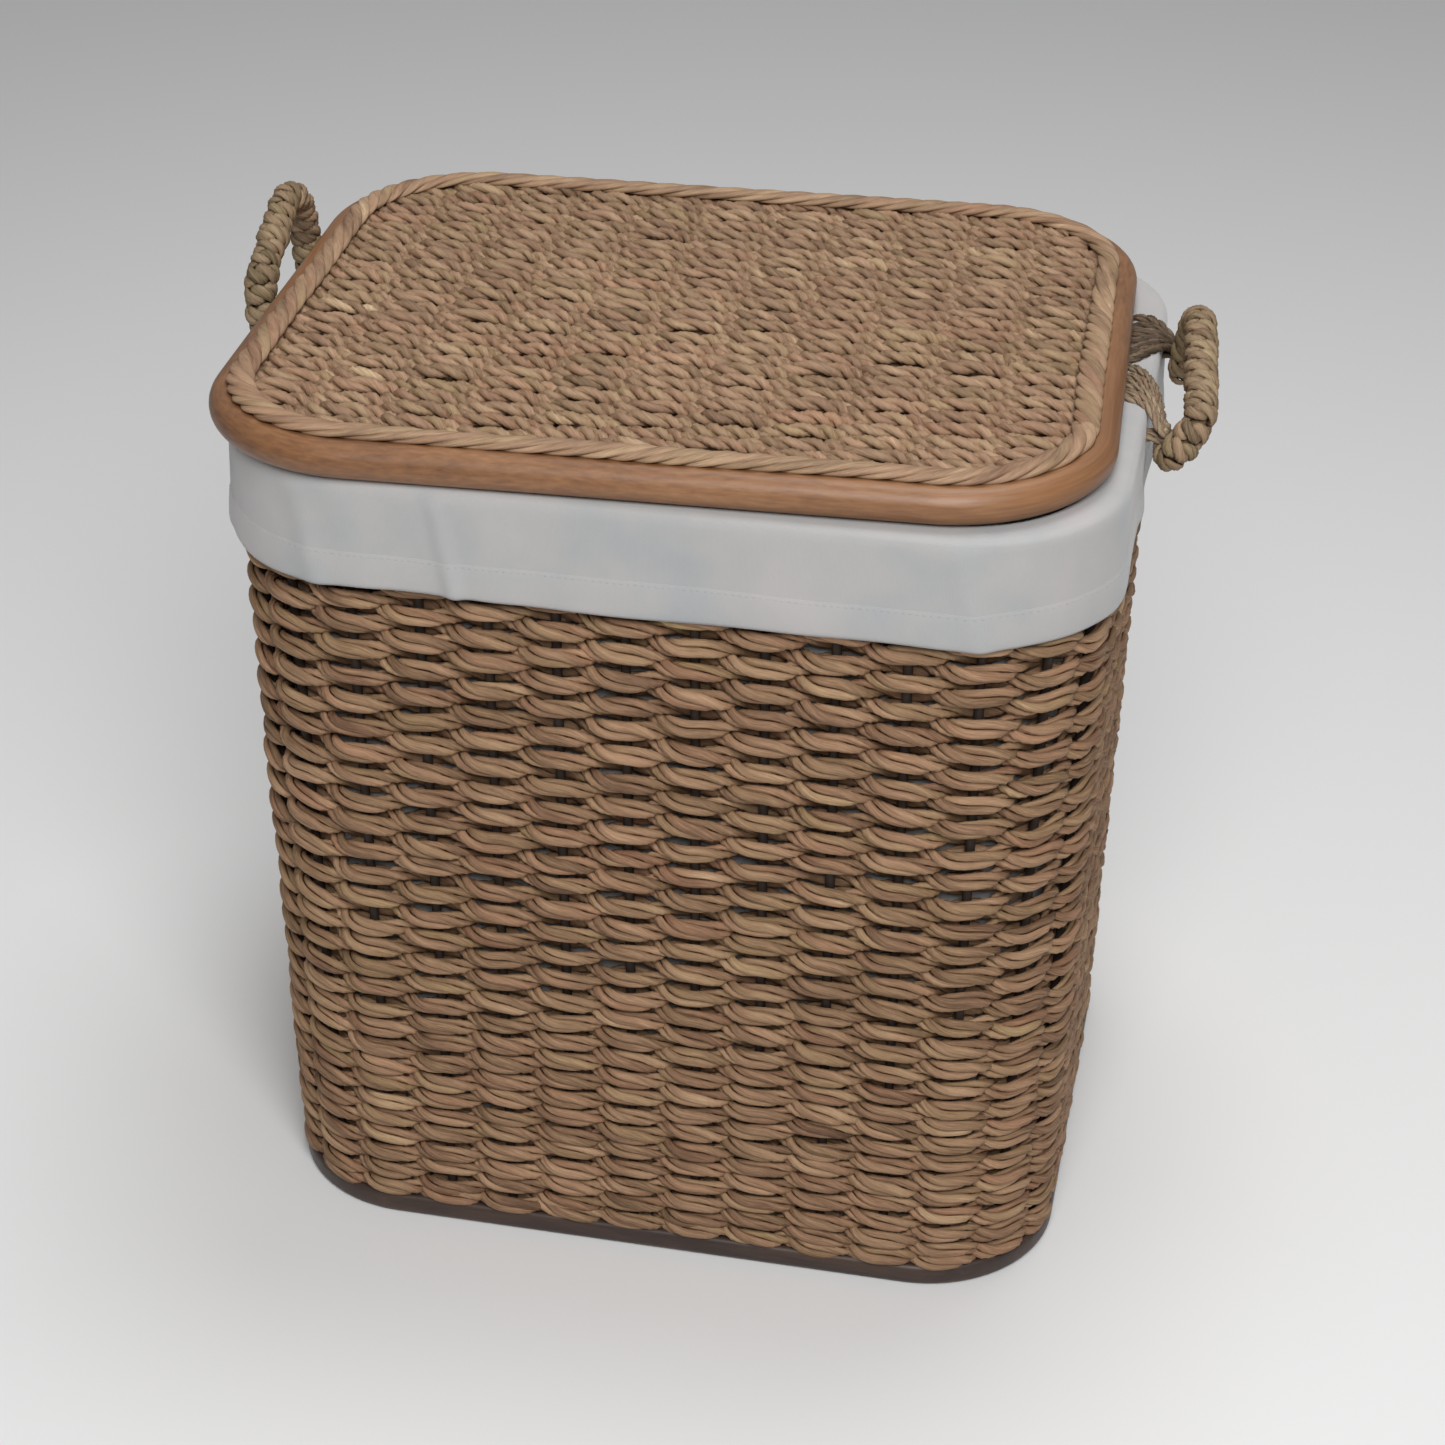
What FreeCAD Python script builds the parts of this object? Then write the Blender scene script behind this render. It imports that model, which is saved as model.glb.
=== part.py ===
import FreeCAD, Part
import math
import os

# Woven seagrass laundry basket with a cotton liner, a loose lid and two rope handles.
# Millimetres, +Z up, +Y to the back. The origin is the centre of the base's underside.

# --- the wall: a tapered tube with a rounded-rectangle outline ---
BOTTOM_OUTLINE = (429.0, 345.0, 74.0)   # width, depth, corner radius at z = 0
TOP_OUTLINE = (445.0, 373.0, 80.0)      # the same at the mouth
MOUTH_Z = 455.0
WALL = 17.0                             # a cord in front of the stakes and one behind
WEAVE_Z = (12.2, 437.2)

# --- base board and stakes ---
BOARD_T = 12.0
BOARD_INSET = 1.5
BOARD_EDGE = ((0.0, 3.4), (0.8, 1.2), (2.6, 0.0))   # rise and inset of the rounded edge's steps
STAKES = 41
STAKE_R = 2.5
STAKE_FOOT_Z = 4.0
SOCKET_GAP = 0.1

# --- rim ---
RIM_Z = 445.5
RIM_HOOP_R = 5.5
RIM_WRAP_R = 8.0
SKIN_GAP = 0.05                         # between a hoop or core and the cord wound on it

# --- liner ---
CLOTH = 1.4
CLOTH_GAP = 0.5
CUFF_Z = 398.0
HEM_H = 20.0
HEM_T = 1.0

# --- lid, which lies loose and a little askew on the rim ---
LID_W, LID_D, LID_R = 448.0, 382.0, 84.0
LID_SHIFT = (-13.0, 3.5)
LID_YAW = 2.7
LID_HOOP_R = 9.5
LID_HOOP_Z = MOUTH_Z + 0.3 + LID_HOOP_R
LID_WEAVE_Z = (456.8, 471.4)
LID_RIBS = 11
RIB_PITCH = 37.0
RIB_R = 2.5
RIB_SOCKET = 6.0
BORDER_R = 5.4
BORDER_INSET = 16.0
BORDER_Z = 478.3

# --- handles: a bow of bent cane wound with rope; both its ends turn backwards and are its hinge pins ---
HANDLE_Z = 440.0                        # height of the pins
PIN = 30.0
CORE_R = 4.0
ROPE_R = 8.8
PIN_BEND = 11.0
BOW_BEND = 24.0
LASHING_W = 14.0
LASHING_BORE_R = CORE_R + 0.3
LASHING_R = 7.3
LUG_Z = (440.6, 446.4)
LUG_X = 222.4
SLIT_GAP = 0.6
# side: x sign, the pins' x, the bow's middle in y, half its length, then front and back reach, and tilt
HANDLES = {
    "left": (-1, 250.0, 46.0, 40.5, 30.0, 70.0, 90.0, 87.0),
    "right": (1, 236.0, 4.0, 53.5, 27.5, 46.5, 54.0, 82.0),
}


def outline_at(z, inset=0.0):
    """Width, depth and corner radius of the wall at a height, moved inwards by inset."""
    share = z / MOUTH_Z
    w, d, r = (a + (b - a) * share for a, b in zip(BOTTOM_OUTLINE, TOP_OUTLINE))
    return w - 2 * inset, d - 2 * inset, r - inset


def rounded_wire(w, d, r, z):
    """A rounded rectangle about the origin at height z."""
    x, y, k = w / 2, d / 2, r * math.sqrt(0.5)
    edges = []
    for sx, sy in ((1, 1), (-1, 1), (-1, -1), (1, -1)):
        cx, cy = sx * (x - r), sy * (y - r)
        ends = [FreeCAD.Vector(sx * x, cy, z), FreeCAD.Vector(cx, sy * y, z)]
        if sx != sy:
            ends.reverse()
        middle = FreeCAD.Vector(cx + sx * k, cy + sy * k, z)
        if edges:
            edges.append(Part.LineSegment(edges[-1].EndPoint, ends[0]))
        edges.append(Part.Arc(ends[0], middle, ends[1]))
    edges.append(Part.LineSegment(edges[-1].EndPoint, edges[0].StartPoint))
    return Part.Wire([edge.toShape() for edge in edges])


def wall_solid(z0, z1, inset):
    """Everything inside the wall's outline, between two heights."""
    wires = [rounded_wire(*outline_at(z, inset), z) for z in (z0, z1)]
    return Part.makeLoft(wires, True, True)


def wall_ring(z0, z1, outer, inner):
    """A tapered tube between two insets; the cutter is longer, with the same slope."""
    return wall_solid(z0, z1, outer).cut(wall_solid(z0 - 5, z1 + 5, inner))


def tube_along(wire, radius):
    """A round rod along a closed or open path."""
    edge = wire.Edges[0]
    start, ahead = edge.valueAt(edge.FirstParameter), edge.tangentAt(edge.FirstParameter)
    ring = Part.Wire([Part.makeCircle(radius, start, ahead)])
    return wire.makePipeShell([ring], True, False)


def ring_wire(w, d, r, z):
    """A rounded rectangle that starts on a straight side, for a rod bent along it."""
    wire = rounded_wire(w, d, r, z)
    edges = wire.OrderedEdges
    return Part.Wire(edges[1:] + edges[:1])


def point_on_outline(w, d, r, share):
    """The point at a share of the way round, and a key that names it on any outline."""
    sides = [d - 2 * r, w - 2 * r] * 2
    lengths = []
    for side in sides:
        lengths += [side, r * math.pi / 2]
    at = share * sum(lengths)
    for index, length in enumerate(lengths):
        if at <= length:
            return index, at / length
        at -= length
    return len(lengths) - 1, 1.0


def place_on_outline(w, d, r, key):
    """x and y of a keyed point: even keys are straight sides, odd keys are corners."""
    index, t = key
    quarter = index // 2
    along, across = ((d, w), (w, d))[quarter % 2]
    if index % 2 == 0:
        local = (across / 2, (t - 0.5) * (along - 2 * r))
    else:
        turn = t * math.pi / 2
        local = (across / 2 - r + r * math.cos(turn), along / 2 - r + r * math.sin(turn))
    c, s = ((1, 0), (0, 1), (-1, 0), (0, -1))[quarter]
    return local[0] * c - local[1] * s, local[0] * s + local[1] * c


def stake(index, radius, z0, z1):
    """One upright stake in the middle of the wall, following its taper."""
    middle = WALL / 2
    key = point_on_outline(*outline_at(MOUTH_Z / 2, middle), (index + 0.5) / STAKES)
    ends = [FreeCAD.Vector(*place_on_outline(*outline_at(z, middle), key), z) for z in (z0, z1)]
    line = ends[1] - ends[0]
    return Part.makeCylinder(radius, line.Length, ends[0], line)


def all_stakes(radius, z0, z1):
    return Part.makeCompound([stake(index, radius, z0, z1) for index in range(STAKES)])


def lid_place(shape):
    """Moves a shape drawn about the origin to the lid's place on the rim."""
    shape.rotate(FreeCAD.Vector(0, 0, 0), FreeCAD.Vector(0, 0, 1), LID_YAW)
    shape.translate(FreeCAD.Vector(*LID_SHIFT, 0))
    return shape


def lid_wire(inset, z):
    return ring_wire(LID_W - 2 * inset, LID_D - 2 * inset, LID_R - inset, z)


def lid_rib(index, radius, extra):
    """A rod across the lid from front to back, its ends in the hoop."""
    inset = 2 * LID_HOOP_R
    x = (index - (LID_RIBS - 1) / 2) * RIB_PITCH
    r = LID_R - inset
    half_w, half_d = LID_W / 2 - inset, LID_D / 2 - inset
    beyond = max(0.0, abs(x) - (half_w - r))
    half = half_d - r + math.sqrt(r * r - beyond * beyond) + RIB_SOCKET + extra
    foot = FreeCAD.Vector(x, -half, LID_HOOP_Z)
    return Part.makeCylinder(radius, 2 * half, foot, FreeCAD.Vector(0, 1, 0))


def lid_ribs(radius, extra=0.0):
    return Part.makeCompound([lid_rib(index, radius, extra) for index in range(LID_RIBS)])


def rounded_path(corners, bends):
    """Straight runs joined by tangent arcs; the first and last points have no bend."""
    pieces, last = [], corners[0]
    for before, here, after, bend in zip(corners, corners[1:], corners[2:], bends):
        a, b = (before - here).normalize(), (after - here).normalize()
        half = math.acos(a.dot(b)) / 2
        cut = bend / math.tan(half)
        middle = here + (a + b).normalize() * (bend / math.sin(half) - bend)
        pieces.append(Part.LineSegment(last, here + a * cut).toShape())
        pieces.append(Part.Arc(here + a * cut, middle, here + b * cut).toShape())
        last = here + b * cut
    pieces.append(Part.LineSegment(last, corners[-1]).toShape())
    return Part.Wire(pieces)


def handle_point(side, y, reach):
    """A point of the handle: y from the bow's middle, reach outwards along that leg's tilt."""
    sign, pin_x, middle, _, _, _, front_tilt, back_tilt = HANDLES[side]
    tilt = math.radians(back_tilt if y > 0 else front_tilt)
    x = sign * (pin_x + reach * math.cos(tilt))
    return FreeCAD.Vector(x, middle + y, HANDLE_Z + reach * math.sin(tilt))


def bow_corners(side, foot):
    """Corners and bend radii of the bow, from the back leg to the front one, both from a reach of foot."""
    half, front, back = HANDLES[side][3:6]
    corners = [handle_point(side, half, foot), handle_point(side, half, back),
               handle_point(side, -half, front), handle_point(side, -half, foot)]
    bends = [min(BOW_BEND, reach - PIN_BEND - 1.0) for reach in (back, front)]
    return corners, bends


def handle_core(side):
    """The bent cane: the bow, with a pin turned backwards at the foot of each leg."""
    half = HANDLES[side][3]
    corners, bends = bow_corners(side, 0)
    path = [handle_point(side, half + PIN, 0), *corners, handle_point(side, PIN - half, 0)]
    return tube_along(rounded_path(path, [PIN_BEND, *bends, PIN_BEND]), CORE_R)


def handle_wrap(side):
    """Rope wound round the bow, as one sleeve over the core."""
    corners, bends = bow_corners(side, PIN_BEND)
    path = rounded_path(corners, bends)
    return tube_along(path, ROPE_R).cut(tube_along(path, CORE_R + SKIN_GAP))


def lashing_middle(side, end):
    """y of a lashing's middle, on the pin of the front (-1) or back (1) leg."""
    middle, half = HANDLES[side][2:4]
    return middle + end * half + PIN_BEND + 3.0 + LASHING_W / 2


def lug(side, end, gap):
    """The part of a lashing that runs from the rim to the pin."""
    sign, pin_x = HANDLES[side][:2]
    length = pin_x - CORE_R - LUG_X
    low_x = LUG_X if sign > 0 else -(LUG_X + length)
    y = lashing_middle(side, end) - LASHING_W / 2
    corner = FreeCAD.Vector(low_x - gap, y - gap, LUG_Z[0] - gap)
    return Part.makeBox(length + 2 * gap, LASHING_W + 2 * gap, LUG_Z[1] - LUG_Z[0] + 2 * gap, corner)


def handle_lashing(side, end):
    """A few turns of cord round the pin, tied to the rim."""
    sign, pin_x = HANDLES[side][:2]
    start = FreeCAD.Vector(sign * pin_x, lashing_middle(side, end) - LASHING_W / 2, HANDLE_Z)
    along = FreeCAD.Vector(0, 1, 0)
    turns = Part.makeCylinder(LASHING_R, LASHING_W, start, along).fuse(lug(side, end, 0))
    return turns.cut(Part.makeCylinder(LASHING_BORE_R, LASHING_W, start, along)).removeSplitter()


def base_board():
    w, d, r = outline_at(0, BOARD_INSET)
    wires = []
    for rise, inset in BOARD_EDGE:
        for z in (rise, BOARD_T - rise):
            wires.append((z, rounded_wire(w - 2 * inset, d - 2 * inset, r - inset, z)))
    wires = [wire for z, wire in sorted(wires, key=lambda pair: pair[0])]
    board = Part.makeLoft(wires, True, True)
    return board.cut(all_stakes(STAKE_R + SOCKET_GAP, STAKE_FOOT_Z, BOARD_T + 5))


def wall_weave():
    weave = wall_ring(*WEAVE_Z, 0, WALL)
    return weave.cut(all_stakes(STAKE_R + SOCKET_GAP, 0, MOUTH_Z))


def rim_rod(radius):
    return tube_along(ring_wire(*outline_at(RIM_Z, WALL / 2), RIM_Z), radius)


def rim_wrap():
    return rim_rod(RIM_WRAP_R).cut(rim_rod(RIM_HOOP_R + SKIN_GAP))


def liner_bottom():
    z0 = BOARD_T + 0.2
    return wall_solid(z0, z0 + CLOTH, WALL + CLOTH_GAP + 0.1)


def liner_wall():
    """The bag's side, its turn over the rim, and the cuff outside, in one piece of cloth."""
    inner = WALL + CLOTH_GAP
    foot = BOARD_T + 0.2 + CLOTH + 0.1
    bag = wall_ring(foot, MOUTH_Z, inner, inner + CLOTH)
    top = wall_ring(MOUTH_Z - CLOTH, MOUTH_Z, -CLOTH_GAP - CLOTH, inner + CLOTH)
    cuff = wall_ring(CUFF_Z, MOUTH_Z, -CLOTH_GAP - CLOTH, -CLOTH_GAP)
    cloth = bag.fuse([top, cuff]).removeSplitter()
    for side in HANDLES:
        for end in (-1, 1):
            cloth = cloth.cut(lug(side, end, SLIT_GAP))
    return cloth


def liner_hem():
    face = CLOTH_GAP + CLOTH + 0.1
    return wall_ring(CUFF_Z, CUFF_Z + HEM_H, -face - HEM_T, -face)


def lid_hoop():
    hoop = tube_along(lid_wire(LID_HOOP_R, LID_HOOP_Z), LID_HOOP_R)
    return lid_place(hoop.cut(lid_ribs(RIB_R + SOCKET_GAP, SOCKET_GAP)))


def lid_weave():
    outline = lid_wire(2 * LID_HOOP_R + 0.2, LID_WEAVE_Z[0])
    panel = Part.Face(outline).extrude(FreeCAD.Vector(0, 0, LID_WEAVE_Z[1] - LID_WEAVE_Z[0]))
    return lid_place(panel.cut(lid_ribs(RIB_R + SOCKET_GAP)))


def lid_border():
    return lid_place(tube_along(lid_wire(BORDER_INSET, BORDER_Z), BORDER_R))


parts = {
    "base_board": base_board(),
    "wall_stakes": all_stakes(STAKE_R, STAKE_FOOT_Z, WEAVE_Z[1]),
    "wall_weave": wall_weave(),
    "rim_hoop": rim_rod(RIM_HOOP_R),
    "rim_wrap": rim_wrap(),
    "liner_bottom": liner_bottom(),
    "liner_wall": liner_wall(),
    "liner_hem": liner_hem(),
    "lid_hoop": lid_hoop(),
    "lid_ribs": lid_place(lid_ribs(RIB_R)),
    "lid_weave": lid_weave(),
    "lid_border": lid_border(),
}
for name in HANDLES:
    parts[f"handle_{name}_core"] = handle_core(name)
    parts[f"handle_{name}_wrap"] = handle_wrap(name)
    parts[f"lashing_{name}_front"] = handle_lashing(name, -1)
    parts[f"lashing_{name}_back"] = handle_lashing(name, 1)

os.makedirs("parts", exist_ok=True)
for node, shape in parts.items():
    box = shape.optimalBoundingBox(False)
    print(f"{node:22s} solids {len(shape.Solids):2d} valid {shape.isValid()} "
          f"volume {shape.Volume / 1000:7.1f} cm3  x {box.XMin:6.1f} to {box.XMax:6.1f}  "
          f"y {box.YMin:6.1f} to {box.YMax:6.1f}  z {box.ZMin:6.1f} to {box.ZMax:6.1f}")
    shape.exportStep(f"parts/{node}.step")
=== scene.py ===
import math

import bpy
import numpy as np
from mathutils import Matrix, Vector


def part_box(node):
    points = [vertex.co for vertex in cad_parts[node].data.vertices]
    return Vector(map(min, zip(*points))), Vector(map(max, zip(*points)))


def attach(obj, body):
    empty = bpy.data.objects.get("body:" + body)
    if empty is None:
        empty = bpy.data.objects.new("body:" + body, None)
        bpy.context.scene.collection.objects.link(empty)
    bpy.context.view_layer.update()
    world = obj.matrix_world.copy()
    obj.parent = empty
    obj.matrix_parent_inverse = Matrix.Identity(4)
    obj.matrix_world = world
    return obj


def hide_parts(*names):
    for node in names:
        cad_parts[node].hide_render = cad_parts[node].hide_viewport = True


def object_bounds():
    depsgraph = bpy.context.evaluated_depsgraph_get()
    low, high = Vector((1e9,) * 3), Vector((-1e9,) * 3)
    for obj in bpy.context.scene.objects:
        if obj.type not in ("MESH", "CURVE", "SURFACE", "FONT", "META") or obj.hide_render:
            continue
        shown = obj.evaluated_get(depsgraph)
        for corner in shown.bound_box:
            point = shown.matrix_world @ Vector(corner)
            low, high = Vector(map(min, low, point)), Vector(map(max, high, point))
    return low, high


# Shapes are worked out in millimetres, and new_piece() turns them into metres.
MM = 0.001
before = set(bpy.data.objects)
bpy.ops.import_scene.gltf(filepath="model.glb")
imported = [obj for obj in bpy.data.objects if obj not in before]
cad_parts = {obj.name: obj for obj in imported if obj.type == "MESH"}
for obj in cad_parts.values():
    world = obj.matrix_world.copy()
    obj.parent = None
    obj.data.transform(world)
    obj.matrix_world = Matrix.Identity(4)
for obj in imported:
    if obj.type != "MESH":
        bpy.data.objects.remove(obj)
cad_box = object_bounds()
random = np.random.default_rng(41)


def box(node):
    """A CAD node's low and high corner in millimetres."""
    return [np.array(corner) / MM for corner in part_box(node)]


# ---------------------------------------------------------------- outlines

STAKES = 41
WALL = 17.0           # thickness of the woven wall
BOARD, CUFF = box("base_board"), box("liner_wall")
MOUTH_Z = CUFF[1][2]
FOOT = (*(BOARD[1] - BOARD[0])[:2] + 3.0, 74.0)     # width, depth and corner radius at the floor
MOUTH = (*(CUFF[1] - CUFF[0])[:2] - 3.8, 80.0)      # the same at the mouth

LID = (448.0, 382.0, 84.0)          # width, depth and corner radius
LID_YAW = math.radians(2.7)         # it lies a little askew
LID_MIDDLE = (box("lid_hoop")[0] + box("lid_hoop")[1]) / 2
LID_TOP = box("lid_weave")[1][2]
HOOP_R = 9.5          # half the lid hoop's thickness


def outline_at(z, inset=0.0):
    """Width, depth and corner radius of the wall at a height, moved inwards by inset."""
    share = np.asarray(z, float) / MOUTH_Z
    w, d, r = (a + (b - a) * share for a, b in zip(FOOT, MOUTH))
    return w - 2 * inset, d - 2 * inset, r - inset


def key_at(share, w, d, r):
    """Which side or corner a share of the way round falls on, and how far along it."""
    straight = np.array([d - 2 * r, w - 2 * r, d - 2 * r, w - 2 * r])
    lengths = np.empty(8)
    lengths[0::2], lengths[1::2] = straight, r * math.pi / 2
    ends = np.cumsum(lengths)
    at = np.mod(share, 1.0) * ends[-1]
    index = np.minimum(np.searchsorted(ends, at, side="right"), 7)
    return index, (at - ends[index] + lengths[index]) / lengths[index]


def on_outline(key, w, d, r):
    """Points and outward directions of keyed places on a rounded rectangle."""
    index, t = key
    quarter = index // 2
    corner = index % 2 == 1
    along, across = np.where(quarter % 2 == 0, d, w), np.where(quarter % 2 == 0, w, d)
    turn = np.where(corner, t * math.pi / 2, 0.0)
    x = np.where(corner, across / 2 - r + r * np.cos(turn), across / 2)
    y = np.where(corner, along / 2 - r + r * np.sin(turn), (t - 0.5) * (along - 2 * r))
    c, s = np.array([1, 0, -1, 0])[quarter], np.array([0, 1, 0, -1])[quarter]
    nx, ny = np.cos(turn), np.sin(turn)
    point = np.stack([x * c - y * s, x * s + y * c], 1)
    out = np.stack([nx * c - ny * s, nx * s + ny * c, np.zeros(len(point))], 1)
    return point, out


def on_wall(s, z, inset):
    """Points of the wall at stake coordinate s, where stake i stands at i + 0.5."""
    middle = [float(v) for v in outline_at(MOUTH_Z / 2, WALL / 2)]
    key = key_at(np.asarray(s) / STAKES, *middle)
    point, out = on_outline(key, *outline_at(z, inset))
    return np.column_stack([point, np.broadcast_to(z, len(point))]), out


def lid_turn(directions):
    """Turns directions by the lid's small turn about the vertical."""
    c, s = math.cos(LID_YAW), math.sin(LID_YAW)
    x, y, z = directions.T
    return np.stack([x * c - y * s, x * s + y * c, z], 1)


def lid_place(points):
    """Turns and moves points drawn about the origin to the lid's place."""
    return lid_turn(points) + np.array([LID_MIDDLE[0], LID_MIDDLE[1], 0.0])


# ---------------------------------------------------------------- cords

def wander(at, reach, size):
    """Smooth random values along a line, which change over about reach."""
    x = (at - at.min()) / reach + random.random()
    values = random.normal(0, size, int(x.max()) + 3)
    i = x.astype(int)
    f = x - i
    f = f * f * (3 - 2 * f)
    return values[i] * (1 - f) + values[i + 1] * f


def unit(v):
    """Vectors made one long."""
    return v / np.maximum(np.linalg.norm(v, axis=-1, keepdims=True), 1e-9)


def along(centre):
    """Distance along a line of points."""
    steps = np.linalg.norm(np.diff(centre, axis=0), axis=1)
    return np.concatenate([[0.0], np.cumsum(steps)])


class Bundle:
    """Tubes that end up in one mesh, with what the material reads.

    That is each point's place among the fibres, and the tone and hue of its ply.
    """

    def __init__(self):
        self.points, self.faces, self.fibre, self.tone, self.hue = [], [], [], [], []
        self.count = 0

    def tube(self, rings, fibre, tone, hue, closed=False):
        """Adds one tube. rings and fibre are n x sides x 3, tone and hue have one value a ring."""
        n, sides, _ = rings.shape
        i = np.arange(n if closed else n - 1)[:, None]
        j = np.arange(sides)[None, :]
        a, b = i % n * sides, (i + 1) % n * sides
        k = (j + 1) % sides
        quads = np.stack([a + j, a + k, b + k, b + j], 2).reshape(-1, 4) + self.count
        self.faces += quads.tolist()
        if not closed:
            first = np.arange(sides) + self.count
            self.faces += [first[::-1].tolist(), (first + (n - 1) * sides).tolist()]
        self.points.append(rings.reshape(-1, 3))
        self.fibre.append(fibre.reshape(-1, 3))
        self.tone.append(np.repeat(tone, sides))
        self.hue.append(np.repeat(hue, sides))
        self.count += n * sides

    def cord(self, centre, out, half_out, half_up, turn, plies=2, sides=8, closed=False,
             spread=0.47, tone=1.0, shade=0.0):
        """A cord of twisted plies about a centreline.

        out is roughly outwards, half_out and half_up are half the cord's thickness, and turn is the
        twist's angle. spread is how far from the centreline each ply lies, as a share of that half.
        """
        ahead = np.roll(centre, -1, 0) - np.roll(centre, 1, 0)
        if not closed:
            ahead[0], ahead[-1] = centre[1] - centre[0], centre[-1] - centre[-2]
        ahead = unit(ahead)
        out = unit(out - (out * ahead).sum(1, keepdims=True) * ahead)
        up = np.cross(ahead, out)
        n = len(centre)
        half_out, half_up = np.broadcast_to(half_out, n), np.broadcast_to(half_up, n)
        at = along(centre)
        theta = np.arange(sides) * 2 * math.pi / sides
        ply_r, ply_t = 1.0 - spread, {2: 0.70, 3: 0.55, 4: 0.50}.get(plies, 1.0)
        if plies == 1:
            spread, ply_r, ply_t = 0.0, 1.0, 1.0
        for ply in range(plies):
            phi = (turn + ply * 2 * math.pi / plies)[:, None]
            radial, sideways = spread + ply_r * np.cos(theta), ply_t * np.sin(theta)
            x = (radial * np.cos(phi) - sideways * np.sin(phi)) * half_out[:, None]
            y = (radial * np.sin(phi) + sideways * np.cos(phi)) * half_up[:, None]
            rings = centre[:, None] + x[..., None] * out[:, None] + y[..., None] * up[:, None]
            shift = random.uniform(0, 500, 3)
            girth = half_up.mean() * 0.6
            fibre = np.empty((n, sides, 3))
            fibre[..., 0] = girth * np.cos(theta) + shift[0]
            fibre[..., 1] = girth * np.sin(theta) + shift[1]
            fibre[..., 2] = at[:, None] * 0.10 + shift[2]
            uneven = wander(at, 48, 0.5) + wander(at, 14, 0.28) + random.normal(0, 0.12)
            tones = shade + tone * uneven
            self.tube(rings, fibre, tones, wander(at, 110, 0.8) + wander(at, 24, 0.3), closed)


def new_piece(name, points, faces, material, body, nodes=(), values=None):
    """A smooth-shaded mesh piece on one body. values are its point attributes."""
    mesh = bpy.data.meshes.new(name)
    mesh.from_pydata(np.asarray(points) * MM, [], faces)
    for key, value in (values or {}).items():
        kind, field = ("FLOAT_VECTOR", "vector") if value.ndim == 2 else ("FLOAT", "value")
        layer = mesh.attributes.new(key, kind, "POINT")
        layer.data.foreach_set(field, value.astype(np.float32).ravel())
    mesh.polygons.foreach_set("use_smooth", [True] * len(mesh.polygons))
    mesh.materials.append(material)
    mesh.update()
    piece = bpy.data.objects.new(name, mesh)
    bpy.context.scene.collection.objects.link(piece)
    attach(piece, body)
    if nodes:
        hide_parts(*nodes)
    return piece


def bundle_piece(name, bundle, material, body, nodes=()):
    """A piece from everything in a bundle."""
    values = {"fibre": np.concatenate(bundle.fibre), "tone": np.concatenate(bundle.tone),
              "hue": np.concatenate(bundle.hue)}
    points = np.concatenate(bundle.points)
    return new_piece(name, points, bundle.faces, material, body, nodes, values)


# ---------------------------------------------------------------- materials

class Nodes:
    """A few shorthands for building a material."""

    def __init__(self, name):
        self.material = bpy.data.materials.new(name)
        self.material.use_nodes = True
        self.tree = self.material.node_tree
        self.shader = self.tree.nodes["Principled BSDF"]

    def add(self, kind, inputs=None, **settings):
        node = self.tree.nodes.new(kind)
        for key, value in settings.items():
            setattr(node, key, value)
        for key, value in (inputs or {}).items():
            self.set(node.inputs[key], value)
        return node

    def set(self, socket, value):
        if isinstance(value, bpy.types.NodeSocket):
            self.tree.links.new(value, socket)
        else:
            socket.default_value = value

    def math(self, operation, a, b=0.0, c=0.0, clamp=False):
        node = self.add("ShaderNodeMath", {0: a, 1: b, 2: c}, operation=operation, use_clamp=clamp)
        return node.outputs[0]

    def attribute(self, name, output="Fac"):
        return self.add("ShaderNodeAttribute", attribute_name=name).outputs[output]

    def noise(self, vector, scale, detail=2.0, roughness=0.5, distortion=0.0):
        node = self.add("ShaderNodeTexNoise", {"Vector": vector, "Scale": scale, "Detail": detail,
                                               "Roughness": roughness, "Distortion": distortion})
        return node.outputs["Fac"]

    def ramp(self, fac, stops):
        node = self.add("ShaderNodeValToRGB", {"Fac": fac})
        ramp = node.color_ramp
        while len(ramp.elements) < len(stops):
            ramp.elements.new(0.5)
        for element, (position, colour) in zip(ramp.elements, stops):
            element.position = position
            element.color = (*colour, 1.0)
        return node.outputs["Color"]

    def mix(self, fac, a, b, blend="MIX"):
        node = self.add("ShaderNodeMix", data_type="RGBA", blend_type=blend)
        self.set(node.inputs[0], fac)
        self.set(node.inputs[6], a if isinstance(a, bpy.types.NodeSocket) else (*a, 1.0))
        self.set(node.inputs[7], b if isinstance(b, bpy.types.NodeSocket) else (*b, 1.0))
        return node.outputs[2]

    def bump(self, height, strength, distance_mm, before=None):
        inputs = {"Height": height, "Strength": strength, "Distance": distance_mm * MM}
        if before is not None:
            inputs["Normal"] = before
        return self.add("ShaderNodeBump", inputs).outputs["Normal"]


def srgb(r, g, b):
    """Linear colour from 0-255 display values."""
    return tuple(((v / 255 + 0.055) / 1.055) ** 2.4 if v > 10 else v / 3294.6 for v in (r, g, b))


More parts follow.
